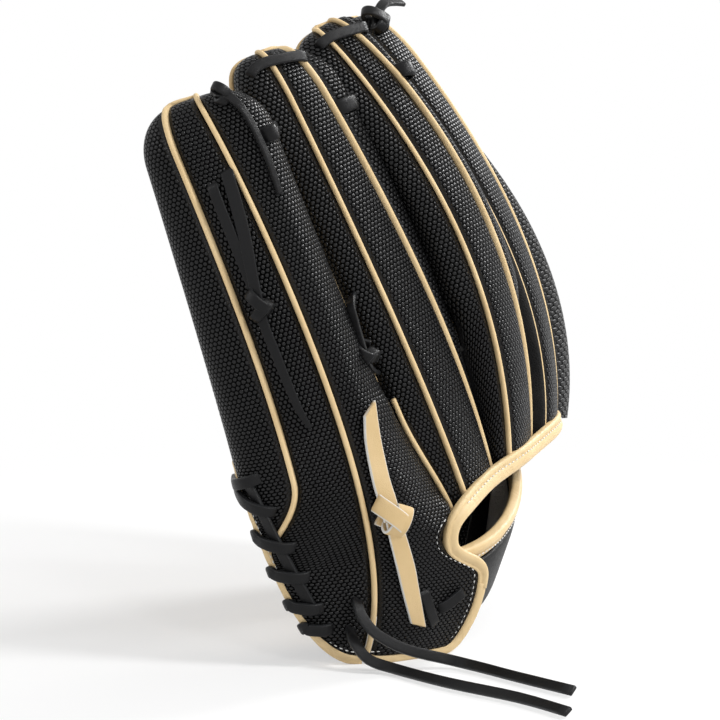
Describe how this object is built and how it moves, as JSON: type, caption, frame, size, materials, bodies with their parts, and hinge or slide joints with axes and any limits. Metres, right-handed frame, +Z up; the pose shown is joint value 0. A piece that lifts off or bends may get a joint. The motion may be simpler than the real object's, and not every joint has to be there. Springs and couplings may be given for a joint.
{
  "type": "baseball fielder's glove",
  "caption": "Left-hand baseball fielder's glove standing on its heel, with embossed black leather backs, tan welts and bindings, a laced web and a thumb that folds to close the pocket.",
  "frame": {"origin": "on the floor under the centre of the glove's box, measured without the two loose lace ends", "axes": "+Z up from the heel to the finger tips, -Y out of the back of the little finger, -X out of the pocket's mouth"},
  "size_m": [0.1885, 0.3127, 0.2887],
  "materials": {
    "black_leather": "embossed, low sheen",
    "tan_leather": "smooth, satin",
    "rawhide_lace": "smooth, waxed",
    "lining": "soft, matt",
    "felt": "matt felt"
  },
  "bodies": {
    "glove": {"little_outer": "black_leather", "little_back": "black_leather", "little_inner": "black_leather", "ring_outer": "black_leather", "ring_back": "black_leather", "ring_inner": "black_leather", "middle_outer": "black_leather", "middle_back": "black_leather", "middle_inner": "black_leather", "index_outer": "black_leather", "index_back": "black_leather", "index_inner": "black_leather", "little_welt_outer": "tan_leather", "little_welt_inner": "tan_leather", "ring_welt_outer": "tan_leather", "ring_welt_inner": "tan_leather", "middle_welt_outer": "tan_leather", "middle_welt_inner": "tan_leather", "index_welt_outer": "tan_leather", "index_welt_inner": "tan_leather", "valley_welt": "tan_leather", "little_palm": "tan_leather", "ring_palm": "tan_leather", "middle_palm": "tan_leather", "index_palm": "tan_leather", "palm_lining": "lining", "little_heel_pad": "felt", "heel_binding": "tan_leather", "wrist_binding": "tan_leather", "rim_binding": "tan_leather", "wrist_strap": "black_leather", "strap_binding": "tan_leather", "web_top": "tan_leather", "web_post": "tan_leather", "web_base": "tan_leather", "web_laces": "rawhide_lace", "heel_lace": "rawhide_lace", "tip_lace": "rawhide_lace", "finger_lace": "rawhide_lace", "index_knot": "rawhide_lace", "index_lace": "rawhide_lace", "little_tip_knot": "rawhide_lace", "little_tip_lace": "rawhide_lace", "little_back_lace": "rawhide_lace", "little_back_knot": "rawhide_lace", "slit_lace": "rawhide_lace", "tan_lace": "tan_leather", "tan_knot": "tan_leather", "strap_lace": "rawhide_lace", "heel_tail_upper": "rawhide_lace", "heel_tail_lower": "rawhide_lace"},
    "thumb": {"thumb_web_side": "black_leather", "thumb_back": "black_leather", "thumb_free_side": "black_leather", "thumb_welt_outer": "tan_leather", "thumb_welt_inner": "tan_leather", "thumb_palm": "tan_leather", "thumb_heel_pad": "felt", "thumb_binding": "tan_leather", "thumb_heel_lace": "rawhide_lace"}
  },
  "joints": [
    {"name": "thumb_fold", "type": "hinge", "parent": "glove", "child": "thumb", "pos_m": [0.0303, 0.0316, 0.008], "axis": [0, 0, 1], "range_deg": [-5, 25], "stiffness_Nm_per_rad": 1, "deforming": ["web_top", "web_post", "web_base", "web_laces", "wrist_strap", "strap_binding"]}
  ]
}
